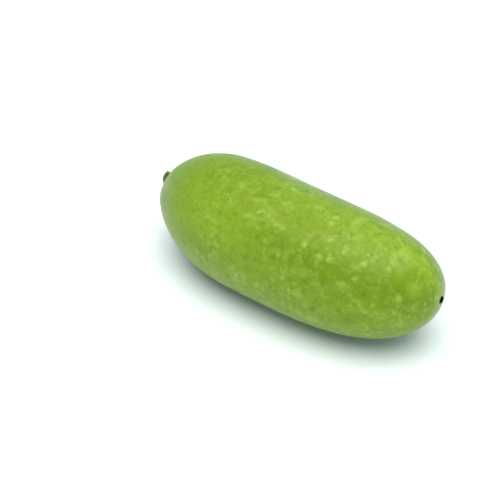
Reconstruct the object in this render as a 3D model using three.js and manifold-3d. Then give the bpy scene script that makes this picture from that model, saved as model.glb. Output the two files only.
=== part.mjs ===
// Winter melon (Benincasa hispida), picked with a stub of its stalk and lying on its belly.
// Millimetres, +Z up. +X points from the stalk end to the blossom end, and the surface it lies on is z = 0.
import * as THREE from "three";
import Module from "manifold-3d";
import { mergeVertices } from "three/addons/utils/BufferGeometryUtils.js";

const wasm = await Module();
wasm.setup();

const FRUIT = {
  length: 296, // pole to pole, before the stalk end is dimpled
  radius: 57, // at mid length
  stemCap: { rise: 2.5, round: 1.9 }, // superellipse powers of the end by the stalk
  blossomCap: { rise: 3.8, round: 2.03 }, // and of the end by the blossom scar
  taper: -0.07, // change of girth from mid length to the blossom end
  shoulder: { swell: 0.053, at: -0.62, width: 0.3 }, // fuller girth behind the stalk end
  cheek: { y: -28, z: 2, height: 3, width: 23 }, // a rounded bulge of the stalk end, off the axis
  bow: -12, // how far the axis bows sideways at mid length
  sway: 1.2, // and how much it wanders up and down
  stemDimple: { depth: 3.2, width: 11 },
  blossomDimple: { depth: 1, width: 5 },
  furrows: { count: 5, depth: 0.55, reach: 24 }, // shallow folds that fan out from the stalk
  bellyFlat: 1.3, // how much the weight of the fruit has flattened its belly
  rings: 54,
  segments: 64,
  crowding: 0.6, // rings stand closer together towards the poles
};

const STALK = {
  route: [ // from inside the dimple's floor, out, then away and up
    [4, 0, 0],
    [-3.5, 0, -0.4],
    [-10, -0.6, -0.6],
    [-12.2, 1.2, 2.2],
    [-10.5, 4.4, 6.2],
  ],
  outline: [ // radius, distance along the stalk as a share of its length
    [8.6, 0],
    [7.2, 0.16],
    [5, 0.36],
    [3.8, 0.56],
    [3.2, 0.76],
    [3.1, 0.9],
    [3.2, 0.97],
  ],
  cutRim: 2.9, // radius of the cut face
  cutHollow: 0.5, // how far the cut face has shrunk in
  ribs: { count: 5, height: 0.09, fineCount: 15, fineHeight: 0.035 }, // heights as shares of the radius
  rings: 22,
  steps: 200, // places along the route where its direction is worked out
  segments: 40,
};

const SCAR = {
  offset: { y: 4, z: 1.85 }, // where it sits, off the pole of the fruit
  outline: [ // radius, height out of the skin
    [0, -1.5],
    [3.4, -1.5],
    [3.4, 0.5],
    [2.75, 1.3],
    [1.9, 1.5],
    [1.1, 1.35],
    [0.55, 0.8],
    [0, 0.8],
  ],
  segments: 20,
};

const COLOURS = { fruit: 0x8fb542, stalk: 0x5a6b1e, scar: 0x1e1a0c };
const ROUGHNESS = { fruit: 0.45, stalk: 0.8, scar: 0.9 };

const MERGE = 0.001; // points closer than this are one
const GAP = 0.3; // clear space between two pieces that touch

// Share of the mid-length radius at u, from -1 at the stalk pole to 1 at the blossom pole.
function girth(u) {
  const cap = u < 0 ? FRUIT.stemCap : FRUIT.blossomCap;
  const { swell, at, width } = FRUIT.shoulder;
  const ends = Math.max(0, 1 - Math.abs(u) ** cap.rise) ** (1 / cap.round);
  return ends * (1 + FRUIT.taper * u + swell * Math.exp(-(((u - at) / width) ** 2)));
}

// Centre of the fruit's cross-section at u.
function axisPoint(u) {
  return new THREE.Vector3((FRUIT.length / 2) * u, FRUIT.bow * (1 - u * u), FRUIT.sway * (u ** 3 - u));
}

// How far the surface is pushed in along X at the end by the stalk, y and z off the axis.
function stemDimple(y, z) {
  const { depth, width } = FRUIT.stemDimple;
  const { count, depth: fold, reach } = FRUIT.furrows;
  const { cheek } = FRUIT;
  const r = Math.hypot(y, z);
  const fan = (r / reach) ** 2 * Math.exp(1 - (r / reach) ** 2);
  const folds = (fold * fan * (1 + Math.cos(count * Math.atan2(z, y)))) / 2;
  const bulge = cheek.height * Math.exp(-((Math.hypot(y - cheek.y, z - cheek.z) / cheek.width) ** 2));
  return depth * Math.exp(-((r / width) ** 2)) + folds - bulge;
}

// The same at the other end, where the dimple is round the blossom scar.
function blossomDimple(y, z) {
  const { depth, width } = FRUIT.blossomDimple;
  const r = Math.hypot(y - SCAR.offset.y, z - SCAR.offset.z);
  return depth * Math.exp(-((r / width) ** 2));
}

function eachVertex(geometry, move) {
  const position = geometry.getAttribute("position");
  const point = new THREE.Vector3();
  for (let i = 0; i < position.count; i++) {
    move(point.fromBufferAttribute(position, i));
    position.setXYZ(i, point.x, point.y, point.z);
  }
  return geometry;
}

// A lathe turned about +X, with only positions kept and shared vertices merged.
function turned(profile, segments) {
  const geometry = new THREE.LatheGeometry(profile, segments).rotateZ(-Math.PI / 2);
  geometry.deleteAttribute("normal");
  geometry.deleteAttribute("uv");
  return mergeVertices(geometry, MERGE);
}

function fruitGeometry() {
  const profile = [];
  for (let i = 0; i <= FRUIT.rings; i++) {
    const s = i / FRUIT.rings;
    const crowded = s - (FRUIT.crowding * Math.sin(2 * Math.PI * s)) / (2 * Math.PI);
    const u = -Math.cos(Math.PI * crowded);
    const onAxis = i === 0 || i === FRUIT.rings;
    profile.push(new THREE.Vector2(onAxis ? 0 : FRUIT.radius * girth(u), (FRUIT.length / 2) * u));
  }
  return eachVertex(turned(profile, FRUIT.segments), (point) => {
    const u = point.x / (FRUIT.length / 2);
    const inward = u < 0 ? stemDimple(point.y, point.z) : -blossomDimple(point.y, point.z);
    const centre = axisPoint(u);
    point.set(point.x + inward, point.y + centre.y, point.z + centre.z);
  });
}

// Bends a lathe that stands along +X from x = 0 to x = 1 along a curve, ribbing its sides.
function alongCurve(geometry, curve, ribs) {
  const { steps } = STALK;
  const length = curve.getLength();
  const { normals, binormals, tangents } = curve.computeFrenetFrames(steps);
  return eachVertex(geometry, (point) => {
    const step = THREE.MathUtils.clamp(Math.round(point.x * steps), 0, steps);
    const angle = Math.atan2(point.z, point.y);
    const fine = ribs.fineHeight * Math.cos(ribs.fineCount * angle);
    const rib = 1 + ribs.height * Math.cos(ribs.count * angle) + fine;
    const { x, y, z } = point;
    point.copy(curve.getPointAt(step / steps));
    point.addScaledVector(normals[step], y * rib);
    point.addScaledVector(binormals[step], z * rib);
    point.addScaledVector(tangents[step], (x - step / steps) * length);
  });
}

function stalkGeometry(foot) {
  const curve = new THREE.CatmullRomCurve3(
    STALK.route.map(([x, y, z]) => new THREE.Vector3(x, y, z).add(foot)),
  );
  const side = new THREE.SplineCurve(STALK.outline.map(([r, s]) => new THREE.Vector2(r, s)));
  const profile = [
    new THREE.Vector2(0, 0),
    ...side.getPoints(STALK.rings),
    new THREE.Vector2(STALK.cutRim, 1),
    new THREE.Vector2(0, 1 - STALK.cutHollow / curve.getLength()),
  ];
  return alongCurve(turned(profile, STALK.segments), curve, STALK.ribs);
}

function scarGeometry(foot) {
  const profile = SCAR.outline.map(([radius, height]) => new THREE.Vector2(radius, height));
  return turned(profile, SCAR.segments).translate(foot.x, foot.y, foot.z);
}

function solidFrom(geometry) {
  return new wasm.Manifold(
    new wasm.Mesh({
      numProp: 3,
      vertProperties: new Float32Array(geometry.getAttribute("position").array),
      triVerts: new Uint32Array(geometry.index.array),
    }),
  );
}

function geometryFrom(solid) {
  const { vertProperties, triVerts } = solid.getMesh();
  return new THREE.BufferGeometry()
    .setAttribute("position", new THREE.BufferAttribute(new Float32Array(vertProperties), 3))
    .setIndex(new THREE.BufferAttribute(new Uint32Array(triVerts), 1));
}

// A piece that sits on a pole of the fruit, cut to the skin there with a gap left between them.
function seatedOn(fruitSolid, geometry, outward) {
  return geometryFrom(solidFrom(geometry).subtract(fruitSolid.translate([outward * GAP, 0, 0])));
}

function mesh(name, geometry, color, roughness) {
  geometry.computeVertexNormals();
  const made = new THREE.Mesh(geometry, new THREE.MeshStandardMaterial({ color, roughness, metalness: 0 }));
  made.name = name;
  return made;
}

// The fruit is set down on z = 0 and its belly is flattened there.
const skin = fruitGeometry();
skin.computeBoundingBox();
const rise = -skin.boundingBox.min.z - FRUIT.bellyFlat;
eachVertex(skin, (point) => point.setZ(Math.max(0, point.z + rise)));

const stalkFoot = axisPoint(-1).add(new THREE.Vector3(FRUIT.stemDimple.depth, 0, rise));
const scarFoot = axisPoint(1).add(
  new THREE.Vector3(-FRUIT.blossomDimple.depth, SCAR.offset.y, SCAR.offset.z + rise),
);
const fruitSolid = solidFrom(skin);

const melon = new THREE.Group();
melon.add(
  mesh("fruit", skin, COLOURS.fruit, ROUGHNESS.fruit),
  mesh("stalk", seatedOn(fruitSolid, stalkGeometry(stalkFoot), -1), COLOURS.stalk, ROUGHNESS.stalk),
  mesh("blossom_scar", seatedOn(fruitSolid, scarGeometry(scarFoot), 1), COLOURS.scar, ROUGHNESS.scar),
);

// The origin is under the middle of the whole melon.
const box = new THREE.Box3().setFromObject(melon);
melon.position.set(-(box.min.x + box.max.x) / 2, -(box.min.y + box.max.y) / 2, 0);

export default melon;
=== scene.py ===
import math

import bmesh
import bpy
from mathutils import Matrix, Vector, noise


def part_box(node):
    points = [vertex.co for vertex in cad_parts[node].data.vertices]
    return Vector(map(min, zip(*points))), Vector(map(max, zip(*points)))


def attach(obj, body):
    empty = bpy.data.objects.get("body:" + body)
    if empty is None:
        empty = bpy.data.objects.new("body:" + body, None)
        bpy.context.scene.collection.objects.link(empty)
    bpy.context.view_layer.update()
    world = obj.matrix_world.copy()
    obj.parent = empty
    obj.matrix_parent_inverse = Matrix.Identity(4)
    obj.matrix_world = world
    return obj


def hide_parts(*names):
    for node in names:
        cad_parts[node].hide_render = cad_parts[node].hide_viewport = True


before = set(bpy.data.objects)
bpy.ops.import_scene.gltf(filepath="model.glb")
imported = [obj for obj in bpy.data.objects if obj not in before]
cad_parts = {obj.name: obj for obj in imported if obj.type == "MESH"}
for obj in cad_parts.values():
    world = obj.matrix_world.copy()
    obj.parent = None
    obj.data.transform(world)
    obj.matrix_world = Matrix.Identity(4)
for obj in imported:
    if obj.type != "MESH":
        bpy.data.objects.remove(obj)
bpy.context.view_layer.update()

mm = 0.001
samePoint = 0.001 * mm  # points closer than this are merged


# small tools

def linear(hexColour):
    # sRGB hex to the linear colour that a shader wants
    channels = [int(hexColour[i:i + 2], 16) / 255 for i in (1, 3, 5)]
    return (*[c / 12.92 if c <= 0.04045 else ((c + 0.055) / 1.055) ** 2.4 for c in channels], 1.0)


def addNode(material, kind, output, inputs=None, **settings):
    # adds a node, sets it up, fills or links its inputs, and gives back one of its outputs
    node = material.node_tree.nodes.new(kind)
    for name, value in settings.items():
        setattr(node, name, value)
    for name, value in (inputs or {}).items():
        if isinstance(value, bpy.types.NodeSocket):
            material.node_tree.links.new(value, node.inputs[name])
        else:
            node.inputs[name].default_value = value
    return None if output is None else node.outputs[output]


def newMaterial(name):
    material = bpy.data.materials.new(name)
    material.use_nodes = True
    material.node_tree.nodes.clear()
    return material


def showPiece(bm, name, material, node):
    # turns a finished bmesh into a piece that stands for a CAD node
    mesh = bpy.data.meshes.new(name)
    bm.to_mesh(mesh)
    bm.free()
    mesh.shade_smooth()
    mesh.materials.append(material)
    piece = bpy.data.objects.new(name, mesh)
    bpy.context.scene.collection.objects.link(piece)
    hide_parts(node)
    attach(piece, "root")
    return piece


def lathe(profile, segments):
    # spins an outline of (distance along X, radius) points round the X axis into a closed body
    bm = bmesh.new()
    points = [bm.verts.new((x, 0, r)) for x, r in profile]
    edges = [bm.edges.new(pair) for pair in zip(points, points[1:])]
    bmesh.ops.spin(
        bm, geom=points + edges, cent=(0, 0, 0), axis=(1, 0, 0), dvec=(0, 0, 0),
        angle=2 * math.pi, steps=segments, use_merge=True, use_duplicate=False,
    )
    bmesh.ops.remove_doubles(bm, verts=bm.verts, dist=samePoint)
    bmesh.ops.recalc_face_normals(bm, faces=bm.faces)
    return bm


def middleOf(node):
    low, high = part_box(node)
    return (Vector(low) + Vector(high)) / 2


def seatIn(bm, node):
    # fits a body to the box of the CAD node that it stands for
    low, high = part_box(node)
    ownLow = Vector([min(v.co[i] for v in bm.verts) for i in range(3)])
    ownHigh = Vector([max(v.co[i] for v in bm.verts) for i in range(3)])
    size = [(high[i] - low[i]) / (ownHigh[i] - ownLow[i]) for i in range(3)]
    bmesh.ops.translate(bm, verts=bm.verts, vec=-(ownLow + ownHigh) / 2)
    bmesh.ops.scale(bm, verts=bm.verts, vec=size)
    bmesh.ops.translate(bm, verts=bm.verts, vec=middleOf(node))


def ripple(point, size, seed=0.0):
    # smooth random value from about -1 to 1 that changes over a length of size
    return noise.noise(point / size + Vector((seed, seed * 1.7, -seed)))


# camera

cameraSetup = {
    "lens": 70,  # mm
    "sensor": 36,  # mm wide
    "azimuth": 39.2,  # degrees round the melon, 0 looks along +Y
    "elevation": 36.0,  # degrees above the floor
    "distance": 868.7 * mm,
    "aim": (-27.8 * mm, -18.7 * mm, -9.2 * mm),  # the point looked at, from the middle of the fruit
    "range": (10 * mm, 200),  # nearest and furthest that it sees
}


def makeCamera(setup):
    aim = middleOf("fruit") + Vector(setup["aim"])
    azimuth = math.radians(setup["azimuth"])
    elevation = math.radians(setup["elevation"])
    level = math.cos(elevation)
    towards = Vector((math.sin(azimuth) * level, -math.cos(azimuth) * level, math.sin(elevation)))
    data = bpy.data.cameras.new("camera")
    data.lens = setup["lens"]
    data.sensor_width = setup["sensor"]
    data.clip_start, data.clip_end = setup["range"]
    camera = bpy.data.objects.new("camera", data)
    camera.location = aim + setup["distance"] * towards
    camera.rotation_euler = towards.to_track_quat("Z", "Y").to_euler()
    bpy.context.scene.collection.objects.link(camera)
    bpy.context.scene.camera = camera


makeCamera(cameraSetup)
print("camera placed")


# fruit

fruitShape = {
    "length": 296 * mm,  # pole to pole
    "radius": 57 * mm,  # at mid length
    "stemCap": (2.5, 1.9),  # superellipse powers of the stalk end
    "blossomCap": (3.8, 2.03),  # and of the blossom end
    "taper": -0.07,  # change of girth towards the blossom end
    "shoulder": (0.053, -0.62, 0.3),  # swelling behind the stalk end: share of girth, place, width
    "cheek": (-28 * mm, 2 * mm, 3 * mm, 23 * mm),  # bulge of the stalk end: off the axis, height, width
    "bow": -12 * mm,
    "sway": 1.2 * mm,
    "stemDimple": (3.2 * mm, 11 * mm),  # depth, width
    "blossomDimple": (1.0 * mm, 5 * mm),
    "folds": (  # round the stalk: count, depth, reach, unevenness
        (5, 0.55 * mm, 24 * mm, 0.0),
        (23, 0.16 * mm, 11 * mm, 1.3),
    ),
    "collar": (0.35 * mm, 4.7 * mm, 0.7 * mm),  # corky ring round the scar: height, radius, width
    "collarLumps": ((5, 0.25), (9, 0.15)),  # count, share of its height
    "scarOffset": (4 * mm, 1.85 * mm),  # where the scar sits, off the pole
    "bellyFlat": 1.3 * mm,  # how far the weight has flattened the belly
    "swells": (  # uneven growth: size, height
        (60 * mm, 0.55 * mm), (24 * mm, 0.22 * mm), (9 * mm, 0.05 * mm),
    ),
    "ridges": (0.35 * mm, 0.8, 2.2),  # faint and lengthwise: height, changes along, changes round
    "calm": 20 * mm,  # unevenness dies away within this of the axis
    "rings": 200,
    "segments": 240,
    "crowding": 0.6,  # rings stand closer together towards the poles
}


def girth(shape, u):
    # share of the mid-length radius at u, from -1 at the stalk pole to 1 at the blossom pole
    rise, roundness = shape["stemCap"] if u < 0 else shape["blossomCap"]
    swell, place, width = shape["shoulder"]
    ends = max(0, 1 - abs(u) ** rise) ** (1 / roundness)
    return ends * (1 + shape["taper"] * u + swell * math.exp(-(((u - place) / width) ** 2)))


def hollow(r, depth, width):
    return depth * math.exp(-((r / width) ** 2))


def fan(r, reach):
    # nothing at the middle, most at reach, and fading beyond it
    return (r / reach) ** 2 * math.exp(1 - (r / reach) ** 2)


def stemPush(shape, y, z):
    # how far the stalk end is pushed in along X
    r, angle = math.hypot(y, z), math.atan2(z, y)
    y0, z0, height, width = shape["cheek"]
    push = hollow(r, *shape["stemDimple"]) - hollow(math.hypot(y - y0, z - z0), height, width)
    for count, depth, reach, uneven in shape["folds"]:
        wave = math.cos(count * angle + uneven * math.sin(3 * angle))
        push += depth * fan(r, reach) * (1 + wave) / 2
    return push


def blossomPush(shape, y, z):
    # the same at the blossom end, where a corky collar stands up round the scar
    y0, z0 = shape["scarOffset"]
    r, angle = math.hypot(y - y0, z - z0), math.atan2(z - z0, y - y0)
    height, radius, width = shape["collar"]
    height *= 1 + sum(share * math.cos(count * angle) for count, share in shape["collarLumps"])
    return hollow(r, *shape["blossomDimple"]) - hollow(r - radius, height, width)


def makeFruit(shape, material):
    half = shape["length"] / 2
    outline = []
    for i in range(shape["rings"] + 1):
        s = i / shape["rings"]
        s -= shape["crowding"] * math.sin(2 * math.pi * s) / (2 * math.pi)
        u = -math.cos(math.pi * s)
        onAxis = i in (0, shape["rings"])
        outline.append((half * u, 0 if onAxis else shape["radius"] * girth(shape, u)))
    bm = lathe(outline, shape["segments"])

    # every point keeps where it is along and round the fruit, for the patterns on the rind
    around = bm.verts.layers.float_vector.new("around")
    ridge, ridgeAlong, ridgeRound = shape["ridges"]
    poles = {}
    for v in bm.verts:
        x, y, z = v.co
        u, r = x / half, math.hypot(y, z)
        outward = Vector((0, y, z)) / r if r > 0 else Vector()
        v[around] = (u, outward.y, outward.z)
        lumps = sum(height * ripple(v.co, size, seed=size / mm) for size, height in shape["swells"])
        spot = Vector((u * ridgeAlong, outward.y * ridgeRound, outward.z * ridgeRound))
        lumps += ridge * ripple(spot, 1, seed=5)
        v.co += outward * lumps * min(1, r / shape["calm"])
        if u < 0:
            v.co.x += stemPush(shape, y, z)
        else:
            v.co.x -= blossomPush(shape, y, z)
        v.co.y += shape["bow"] * (1 - u * u)
        v.co.z += shape["sway"] * (u ** 3 - u)
        if r == 0:
            poles["stalk" if u < 0 else "blossom"] = v

    floor = min(v.co.z for v in bm.verts) + shape["bellyFlat"]
    for v in bm.verts:
        v.co.z = max(v.co.z, floor)
    seatIn(bm, "fruit")

    stalkFoot = poles["stalk"].co.copy()
    target = poles["blossom"].co + Vector((0, *shape["scarOffset"]))
    nearest = min(bm.verts, key=lambda v: (v.co - target).length)
    scarFoot = Vector((nearest.co.x, target.y, target.z))
    return showPiece(bm, "melonFruit", material, "fruit"), stalkFoot, scarFoot


rindLook = {
    "fresh": "#7B9412",  # most of the rind
    "deep": "#678404",  # darker green: darker zones of its own, and painted shade by the stalk end and on the near flank
    "mottleAndPaintedShade": "#4F6C02",  # fine dark mottling, and painted shade low on the body towards the floor
    "paintedLight": "#90AB2E",  # painted light: paler green where the light falls brightest, on top towards the blossom end and on the near flank
    "fleck": "#B0C65A",  # pale flecks
    "ground": "#9DAE55",  # the strip that it lay on
    "bloom": "#96A060",  # greyish skin round both ends
    "paintedSheen": "#86996C",  # painted sheen: greyer green along the top and back, where the outline greys
    "cork": "#9E9C72",  # ring round the blossom scar
    "patchStretch": 0.45,  # patches are longer than they are wide
    "patches": (  # colour, place along from -1 to 1, degrees round (90 on top), core, reach, amount
        # painted light: these two paler patches stand in for where the light falls brightest
        ("paintedLight", 0.65, 90, 0.05, 0.5, 0.5),
        ("paintedLight", 0.0, 148, 0.05, 0.5, 0.5),
        # painted shade: a darker patch on the near flank towards the blossom end
        ("deep", 0.6, 147, 0.1, 0.5, 0.8),
        # painted sheen: greyer along the top and back edge
        ("paintedSheen", 0.1, 46, 0.1, 0.75, 0.6),
    ),
    "spots": (  # colour, mm from the blossom scar, core, reach, amount
        ("fleck", (-29, -17, 38), 2 * mm, 13 * mm, 0.4),
        ("fleck", (-13, -25, 20), 2 * mm, 11 * mm, 0.33),
        ("deep", (-4, -12, 14), 2 * mm, 9 * mm, 0.5),
        ("deep", (-14, -34, 8), 2 * mm, 17 * mm, 0.5),
    ),
    "paintedStalkEndShade": (12 * mm, 100 * mm, 0.9),  # painted shade by the stalk end: core, reach, amount
    "stalkBloom": (6 * mm, 40 * mm, 0.12),
    "blossomBloom": (3 * mm, 16 * mm, 0.5),
    "corkRing": (3.9 * mm, 5.8 * mm, 0.6),
    "paintedUndersideShade": (34 * mm, 8 * mm, 0.6),  # painted shade low on the body: starts below this height, full below this, amount
    "lyingStrip": (5 * mm, 0.5 * mm, 0.5),
    # clouds of colour: size, noise where they start and are full, amount, detail
    "zones": (0.5, 0.45, 0.68, 0.25, 3),  # sized along and round the fruit, so long and wide
    "mottling": (7 * mm, 0.5, 0.72, 0.4, 3),
    "grain": (2.4 * mm, 0.42, 0.7, 0.25, 2),
    "crowds": (30 * mm, 0.3, 0.62, 1.0, 2),
    "clouds": (9 * mm, 0.46, 0.7, 0.32, 5),
    "raggedness": 0.55,  # of the edges of all of these
    "flecks": (  # spacing, core and edge as shares of it, share kept, amount
        (8.5 * mm, 0.05, 0.5, 0.65, 0.52),
        (5 * mm, 0.1, 0.5, 0.8, 0.38),
    ),
    "thinning": (-0.8, 0.0, 0.2),  # flecks grow fewer between these places, down to this share
    "wander": 5 * mm,  # outlines of flecks wander over this length, and by up to half of it
    "swell": 7 * mm,  # size of the soft unevenness in the gloss
    "pores": 1.4 * mm,  # coarser than real ones, which would be too fine to show
    "poreShare": 0.25,
    "reliefStrength": 0.35,
    "reliefDepth": 0.5 * mm,
    "waxPatches": 18 * mm,
    "waxEnds": (0.35, 0.7),  # noise where the skin is waxy and where it is dull
    "roughness": (0.4, 0.54),  # from waxy to dull
    "sheenTint": "#AAA29C",
}


def liveRind(look, stalkEnd, blossomEnd):
    # living rind of a young gourd: a thin waxy skin over pale flesh, so a soft satin gloss that greys
    # towards the outline, and light that spreads a little under the skin
    m = newMaterial("live_gourd_rind")
    place = addNode(m, "ShaderNodeTexCoord", "Object")
    around = addNode(m, "ShaderNodeAttribute", "Vector", attribute_name="around")
    along = addNode(m, "ShaderNodeSeparateXYZ", "X", {0: around})
    height = addNode(m, "ShaderNodeSeparateXYZ", "Z", {0: place})

    inputs = {"Vector": place, "Scale": 1 / look["wander"], "Detail": 2}
    wander = addNode(m, "ShaderNodeTexNoise", "Color", inputs)
    wander = addNode(m, "ShaderNodeVectorMath", 0, {0: wander, 1: (0.5, 0.5, 0.5)}, operation="SUBTRACT")
    inputs = {0: wander, "Scale": look["wander"]}
    wander = addNode(m, "ShaderNodeVectorMath", 0, inputs, operation="SCALE")
    loose = addNode(m, "ShaderNodeVectorMath", 0, {0: place, 1: wander}, operation="ADD")

    def noiseBand(vector, size, start, full, most, detail):
        # where a cloud of that size is bright, from 0 up to most
        inputs = {"Vector": vector, "Scale": 1 / size, "Detail": detail}
        inputs["Roughness"] = look["raggedness"]
        cloud = addNode(m, "ShaderNodeTexNoise", "Fac", inputs)
        inputs = {"Value": cloud, "From Min": start, "From Max": full, "To Max": most}
        return addNode(m, "ShaderNodeMapRange", 0, inputs, interpolation_type="SMOOTHSTEP")

    def fleckLayer(spacing, core, edge, kept, most):
        # soft spots, one to a cell, some of them missing
        away = addNode(m, "ShaderNodeTexVoronoi", "Distance", {"Vector": loose, "Scale": 1 / spacing})
        inputs = {"Value": away, "From Min": edge, "From Max": core, "To Max": most}
        spot = addNode(m, "ShaderNodeMapRange", 0, inputs, interpolation_type="SMOOTHSTEP")
        luck = addNode(m, "ShaderNodeSeparateColor", "Red", {"Color": away.node.outputs["Color"]})
        luck = addNode(m, "ShaderNodeMapRange", 0, {"Value": luck, "From Min": 1 - kept})
        spot = addNode(m, "ShaderNodeMath", 0, {0: spot, 1: luck}, operation="MULTIPLY")
        return addNode(m, "ShaderNodeMath", 0, {0: spot, 1: crowd}, operation="MULTIPLY")

    def nearPoint(point, core, reach, most):
        inputs = {0: place, 1: tuple(point)}
        away = addNode(m, "ShaderNodeVectorMath", "Value", inputs, operation="DISTANCE")
        inputs = {"Value": away, "From Min": reach, "From Max": core, "To Max": most}
        return addNode(m, "ShaderNodeMapRange", 0, inputs, interpolation_type="SMOOTHSTEP")

    def patchAround(u, degrees, core, reach, most):
        # a lengthwise patch, u along the fruit and degrees round it
        angle, stretch = math.radians(degrees), (look["patchStretch"], 1, 1)
        centre = (u * look["patchStretch"], math.cos(angle), math.sin(angle))
        spot = addNode(m, "ShaderNodeVectorMath", 0, {0: around, 1: stretch}, operation="MULTIPLY")
        away = addNode(m, "ShaderNodeVectorMath", "Value", {0: spot, 1: centre}, operation="DISTANCE")
        inputs = {"Value": away, "From Min": reach, "From Max": core, "To Max": most}
        return addNode(m, "ShaderNodeMapRange", 0, inputs, interpolation_type="SMOOTHSTEP")

    def lowBand(start, full, most):
        inputs = {"Value": height, "From Min": start, "From Max": full, "To Max": most}
        return addNode(m, "ShaderNodeMapRange", 0, inputs, interpolation_type="SMOOTHSTEP")

    # flecks come in crowds, and are few by the stalk
    few, many, share = look["thinning"]
    inputs = {"Value": along, "From Min": few, "From Max": many, "To Min": share}
    ripe = addNode(m, "ShaderNodeMapRange", 0, inputs, interpolation_type="SMOOTHSTEP")
    crowd = noiseBand(place, *look["crowds"])
    crowd = addNode(m, "ShaderNodeMath", 0, {0: crowd, 1: ripe}, operation="MULTIPLY")
    clouds = noiseBand(loose, *look["clouds"])
    clouds = addNode(m, "ShaderNodeMath", 0, {0: clouds, 1: crowd}, operation="MULTIPLY")

    layers = [(name, patchAround(*patch)) for name, *patch in look["patches"]]
    for name, offset, *spot in look["spots"]:
        layers.append((name, nearPoint(blossomEnd + Vector(offset) * mm, *spot)))
    layers += [
        # painted shade: the rind darkens towards the stalk end
        ("deep", nearPoint(stalkEnd, *look["paintedStalkEndShade"])),
        ("deep", noiseBand(around, *look["zones"])),
        ("mottleAndPaintedShade", noiseBand(loose, *look["mottling"])),
        ("mottleAndPaintedShade", noiseBand(place, *look["grain"])),
        # painted shade: the rind darkens towards the floor
        ("mottleAndPaintedShade", lowBand(*look["paintedUndersideShade"])),
        ("fleck", clouds),
        *[("fleck", fleckLayer(*flecks)) for flecks in look["flecks"]],
        ("ground", lowBand(*look["lyingStrip"])),
        ("bloom", nearPoint(stalkEnd, *look["stalkBloom"])),
        ("bloom", nearPoint(blossomEnd, *look["blossomBloom"])),
        ("cork", nearPoint(blossomEnd, *look["corkRing"])),
    ]
    colour = linear(look["fresh"])
    for name, amount in layers:
        inputs = {0: amount, 6: colour, 7: linear(look[name])}
        colour = addNode(m, "ShaderNodeMix", 2, inputs, data_type="RGBA")

    inputs = {"Vector": place, "Scale": 1 / look["swell"], "Detail": 2}
    swell = addNode(m, "ShaderNodeTexNoise", "Fac", inputs)
    inputs = {"Vector": place, "Scale": 1 / look["pores"], "Detail": 3}
    pores = addNode(m, "ShaderNodeTexNoise", "Fac", inputs)
    inputs = {0: pores, 1: look["poreShare"], 2: swell}
    relief = addNode(m, "ShaderNodeMath", 0, inputs, operation="MULTIPLY_ADD")
    inputs = {"Height": relief, "Strength": look["reliefStrength"], "Distance": look["reliefDepth"]}
    bump = addNode(m, "ShaderNodeBump", 0, inputs)
    inputs = {"Vector": place, "Scale": 1 / look["waxPatches"], "Detail": 3}
    wax = addNode(m, "ShaderNodeTexNoise", "Fac", inputs)
    (start, full), (waxy, dull) = look["waxEnds"], look["roughness"]
    inputs = {"Value": wax, "From Min": start, "From Max": full, "To Min": waxy, "To Max": dull}
    wax = addNode(m, "ShaderNodeMapRange", 0, inputs)
    skin = addNode(m, "ShaderNodeBsdfPrincipled", "BSDF", {
        "Base Color": colour,
        "Roughness": wax,
        "IOR": 1.44,
        "Subsurface Weight": 0.1,
        "Subsurface Radius": (0.7, 1.0, 0.25),
        "Subsurface Scale": 4 * mm,
        "Specular IOR Level": 0.25,
        "Sheen Weight": 0.5,
        "Sheen Roughness": 0.4,
        "Sheen Tint": linear(look["sheenTint"]),
        "Normal": bump,
    })
    addNode(m, "ShaderNodeOutputMaterial", None, {"Surface": skin})
    return m


rind = liveRind(rindLook, middleOf("stalk"), middleOf("blossom_scar"))
fruit, stalkFoot, scarFoot = makeFruit(fruitShape, rind)
print("fruit made, faces:", len(fruit.data.polygons))


# stalk

stalkShape = {
    "route": (  # mm, from its foot
        (5, 0, 0), (-3.5, 0, -0.4), (-10, -0.6, -0.6), (-12.2, 1.2, 2.2), (-10.5, 4.4, 6.2),
    ),
    "outline": (  # share of its length, radius in mm
        (0, 8.8), (0.16, 7.3), (0.36, 5.1), (0.56, 3.9), (0.76, 3.2), (0.9, 3.1), (0.97, 3.2),
    ),
    "cut": ((0.99, 3.1), (1.0, 2.85), (0.992, 2.2), (0.975, 1.6), (0.955, 0.9), (0.95, 0)),
    "ribs": ((5, 0.1, 0.0), (15, 0.035, 2.0)),  # count, height as a share of the radius, twist
    "grain": (0.06, 1.2, 2.5),  # unevenness: height, changes along, changes round
    "calm": 3 * mm,  # ribs die away within this of the middle
    "insideBend": 0.7,  # the sides reach at most this far towards the middle of a bend
    "softening": 0.4,  # rounds off the sides
    "sharpFrom": 0.95,  # except from here to the cut
    "stations": 46,
    "segments": 100,
    "steps": 120,  # along the route
}


def catmullRom(points, t):
    # a smooth curve through the points, t from 0 to 1
    spans = len(points) - 1
    i = min(int(t * spans), spans - 1)
    s = t * spans - i
    a, b, c, d = (points[min(max(i + k, 0), spans)] for k in (-1, 0, 1, 2))
    return ((b * 2) + (c - a) * s + (a * 2 - b * 5 + c * 4 - d) * s * s
            + (b * 3 - a - c * 3 + d) * s * s * s) / 2


def outlineRadius(outline, s):
    # radius at s, on the straight stretches between the points
    for (s0, r0), (s1, r1) in zip(outline, outline[1:]):
        if s <= s1:
            return r0 + (r1 - r0) * (s - s0) / (s1 - s0)
    return outline[-1][1]


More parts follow.
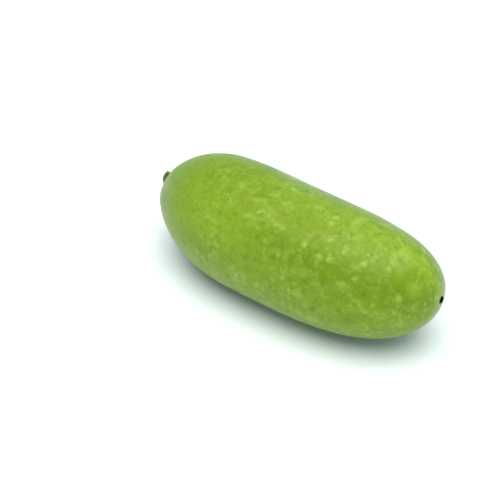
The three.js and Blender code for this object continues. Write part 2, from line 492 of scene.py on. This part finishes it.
def makeStalk(shape, foot, material):
    route = [foot + Vector(p) * mm for p in shape["route"]]
    last, stations = shape["outline"][-1][0], shape["stations"]
    places = [last * i / stations for i in range(stations + 1)]
    side = [(s, outlineRadius(shape["outline"], s) * mm) for s in places]
    cut = [(s, r * mm) for s, r in shape["cut"]]
    bm = lathe([(0, 0), *side, *cut], shape["segments"])

    # frames along the route, each turned as little as it can be from the one before
    steps = shape["steps"]
    spots = [catmullRom(route, i / steps) for i in range(steps + 1)]
    lengths = [0]
    for a, b in zip(spots, spots[1:]):
        lengths.append(lengths[-1] + (b - a).length)
    tangents = [(spots[min(i + 1, steps)] - spots[max(i - 1, 0)]).normalized() for i in range(steps + 1)]
    normals = [tangents[0].orthogonal().normalized()]
    for tangent in tangents[1:]:
        level = normals[-1] - tangent * normals[-1].dot(tangent)
        normals.append(level.normalized())

    along = bm.verts.layers.float_vector.new("along")
    uneven, grainAlong, grainRound = shape["grain"]
    for v in bm.verts:
        s, y, z = v.co
        angle, r = math.atan2(z, y), math.hypot(y, z)
        grain = Vector((s * grainAlong, math.cos(angle) * grainRound, math.sin(angle) * grainRound))
        rib = sum(height * math.cos(count * angle + twist * s) for count, height, twist in shape["ribs"])
        rib += uneven * ripple(grain, 1, seed=3)
        rib *= min(1, r / shape["calm"])
        v[along] = (s, y / mm, z / mm)
        distance = min(max(s, 0), 1) * lengths[-1]
        i = next((k for k in range(steps) if lengths[k + 1] >= distance), steps - 1)
        t = (distance - lengths[i]) / (lengths[i + 1] - lengths[i])
        middle = spots[i].lerp(spots[i + 1], t)
        tangent = tangents[i].lerp(tangents[i + 1], t).normalized()
        normal = normals[i].lerp(normals[i + 1], t).normalized()
        out = (normal * y + tangent.cross(normal) * z) * (1 + rib)
        bend = (tangents[i + 1] - tangents[i]) / (lengths[i + 1] - lengths[i])
        tooFar = out.dot(bend) - shape["insideBend"]
        if tooFar > 0:
            out -= bend * tooFar / bend.length_squared
        v.co = middle + out
    sides = [v for v in bm.verts if v[along][0] < shape["sharpFrom"]]
    bmesh.ops.smooth_vert(
        bm, verts=sides, factor=shape["softening"], use_axis_x=True, use_axis_y=True, use_axis_z=True,
    )
    return showPiece(bm, "melonStalk", material, "stalk")


stalkLook = {
    "dark": "#3A500C",
    "green": "#57701C",
    "olive": "#5C5F26",
    "cork": "#77754A",
    "greenFibres": (0.4, 0.65, 1.0),  # noise where they start and are full, amount
    "drying": (0.55, 0.98, 0.7),  # share of the length where it starts and is full, amount
    "cut": (0.972, 0.985, 1.0),
    "fibre": (3.0, 1.6, 1.6),  # how fast the fibres change along the stalk and across it
    "grit": 0.5 * mm,
    "gritShare": 0.4,
    "reliefStrength": 0.7,
    "reliefDepth": 0.4 * mm,
}


def driedStalk(look):
    # cut gourd stalk: ribbed green fibre with stiff lengthwise grain, drying to olive towards the cut
    m = newMaterial("cut_gourd_stalk")
    along = addNode(m, "ShaderNodeAttribute", "Vector", attribute_name="along")
    share = addNode(m, "ShaderNodeSeparateXYZ", "X", {0: along})
    place = addNode(m, "ShaderNodeTexCoord", "Object")
    fibre = addNode(m, "ShaderNodeVectorMath", 0, {0: along, 1: look["fibre"]}, operation="MULTIPLY")
    fibre = addNode(m, "ShaderNodeTexNoise", "Fac", {"Vector": fibre, "Scale": 1.0, "Detail": 4})
    colour = linear(look["dark"])
    layers = (("green", fibre, "greenFibres"), ("olive", share, "drying"), ("cork", share, "cut"))
    for name, value, band in layers:
        start, full, most = look[band]
        inputs = {"Value": value, "From Min": start, "From Max": full, "To Max": most}
        amount = addNode(m, "ShaderNodeMapRange", 0, inputs, interpolation_type="SMOOTHSTEP")
        inputs = {0: amount, 6: colour, 7: linear(look[name])}
        colour = addNode(m, "ShaderNodeMix", 2, inputs, data_type="RGBA")
    inputs = {"Vector": place, "Scale": 1 / look["grit"], "Detail": 3}
    grit = addNode(m, "ShaderNodeTexNoise", "Fac", inputs)
    inputs = {0: grit, 1: look["gritShare"], 2: fibre}
    relief = addNode(m, "ShaderNodeMath", 0, inputs, operation="MULTIPLY_ADD")
    inputs = {"Height": relief, "Strength": look["reliefStrength"], "Distance": look["reliefDepth"]}
    bump = addNode(m, "ShaderNodeBump", 0, inputs)
    inputs = {"Base Color": colour, "Roughness": 0.72, "IOR": 1.45, "Sheen Weight": 0.1, "Normal": bump}
    fibres = addNode(m, "ShaderNodeBsdfPrincipled", "BSDF", inputs)
    addNode(m, "ShaderNodeOutputMaterial", None, {"Surface": fibres})
    return m


stalk = makeStalk(stalkShape, stalkFoot, driedStalk(stalkLook))
print("stalk made, faces:", len(stalk.data.polygons))


# blossom scar

scarShape = {
    "outline": (  # mm: out of the skin, radius
        (-1.5, 0), (-1.5, 3.3), (-0.6, 3.45), (0.3, 3.45), (0.85, 3.1), (1.35, 2.5), (1.5, 2.0),
        (1.3, 1.4), (0.8, 0.9), (0.5, 0.45), (0.45, 0),
    ),
    "tears": (7, 0.07, 1.5),  # count, depth as a share of the radius, unevenness
    "crumple": (0.28 * mm, 0.9 * mm, 0.3),  # height, size, how far it sinks as a share of the height
    "segments": 56,
}


def makeScar(shape, foot, material):
    bm = lathe([(x * mm, r * mm) for x, r in shape["outline"]], shape["segments"])
    bmesh.ops.subdivide_edges(bm, edges=bm.edges, cuts=1, use_grid_fill=True)
    count, depth, uneven = shape["tears"]
    height, size, sunk = shape["crumple"]
    for v in bm.verts:
        x, y, z = v.co
        angle = math.atan2(z, y)
        torn = 1 - depth * (1 + math.cos(count * angle + uneven * math.sin(2 * angle))) / 2
        v.co.y *= torn
        v.co.z *= torn
        if x > 0:
            v.co.x += height * (ripple(v.co, size, seed=2) - sunk)
    bmesh.ops.translate(bm, verts=bm.verts, vec=foot)
    return showPiece(bm, "melonBlossomScar", material, "blossom_scar")


scarLook = {
    "black": "#0C0E04",
    "brown": "#241E0C",
    "crumbs": 0.8 * mm,
    "brownEdges": (0.5, 0.75, 0.7),  # noise where they start and are full, amount
    "reliefStrength": 0.8,
    "reliefDepth": 0.3 * mm,
}


def driedBlossom(look):
    # withered flower base: brittle, matt and nearly black, with brown torn edges
    m = newMaterial("withered_blossom")
    place = addNode(m, "ShaderNodeTexCoord", "Object")
    inputs = {"Vector": place, "Scale": 1 / look["crumbs"], "Detail": 4}
    crumbs = addNode(m, "ShaderNodeTexNoise", "Fac", inputs)
    start, full, most = look["brownEdges"]
    inputs = {"Value": crumbs, "From Min": start, "From Max": full, "To Max": most}
    amount = addNode(m, "ShaderNodeMapRange", 0, inputs, interpolation_type="SMOOTHSTEP")
    inputs = {0: amount, 6: linear(look["black"]), 7: linear(look["brown"])}
    colour = addNode(m, "ShaderNodeMix", 2, inputs, data_type="RGBA")
    inputs = {"Height": crumbs, "Strength": look["reliefStrength"], "Distance": look["reliefDepth"]}
    bump = addNode(m, "ShaderNodeBump", 0, inputs)
    inputs = {"Base Color": colour, "Roughness": 0.95, "Specular IOR Level": 0.12, "Normal": bump}
    crust = addNode(m, "ShaderNodeBsdfPrincipled", "BSDF", inputs)
    addNode(m, "ShaderNodeOutputMaterial", None, {"Surface": crust})
    return m


scar = makeScar(scarShape, scarFoot, driedBlossom(scarLook))
print("blossom scar made, faces:", len(scar.data.polygons))


# floor and light

studio = {
    "floorRadius": 90.0,  # metres, wide enough that few views see its edge
    "floorSides": 96,
    "floorColour": "#EEEFEF",
    "sky": 0.56,  # strength of the even pale surroundings
    "skyColour": "#DCFAFF",
    "overhead": 3.1,  # strength of the broad light above
    "overheadSpread": 56,  # degrees that it spans, so shadows blur
    "overheadTilt": (10, 8),  # degrees that it leans about X and Y
}


def makeStudio(setup):
    # matt white paper: no gloss, so it only takes shadows
    m = newMaterial("white_studio_paper")
    inputs = {"Base Color": linear(setup["floorColour"]), "Roughness": 0.9, "Specular IOR Level": 0.1}
    paper = addNode(m, "ShaderNodeBsdfPrincipled", "BSDF", inputs)
    addNode(m, "ShaderNodeOutputMaterial", None, {"Surface": paper})
    bm = bmesh.new()
    bmesh.ops.create_circle(bm, cap_ends=True, segments=setup["floorSides"], radius=setup["floorRadius"])
    mesh = bpy.data.meshes.new("floor")
    bm.to_mesh(mesh)
    bm.free()
    mesh.materials.append(m)
    floor = bpy.data.objects.new("floor", mesh)
    bpy.context.scene.collection.objects.link(floor)

    world = bpy.data.worlds.new("white surroundings")
    world.use_nodes = True
    sky = world.node_tree.nodes["Background"]
    sky.inputs["Color"].default_value = linear(setup["skyColour"])
    sky.inputs["Strength"].default_value = setup["sky"]
    bpy.context.scene.world = world

    data = bpy.data.lights.new("overheadLight", "SUN")
    data.energy = setup["overhead"]
    data.angle = math.radians(setup["overheadSpread"])
    light = bpy.data.objects.new("overheadLight", data)
    light.rotation_euler = [math.radians(lean) for lean in (*setup["overheadTilt"], 0)]
    bpy.context.scene.collection.objects.link(light)

    view = bpy.context.scene.view_settings
    view.view_transform = "Standard"
    view.look = "None"


makeStudio(studio)
print("floor and light made")
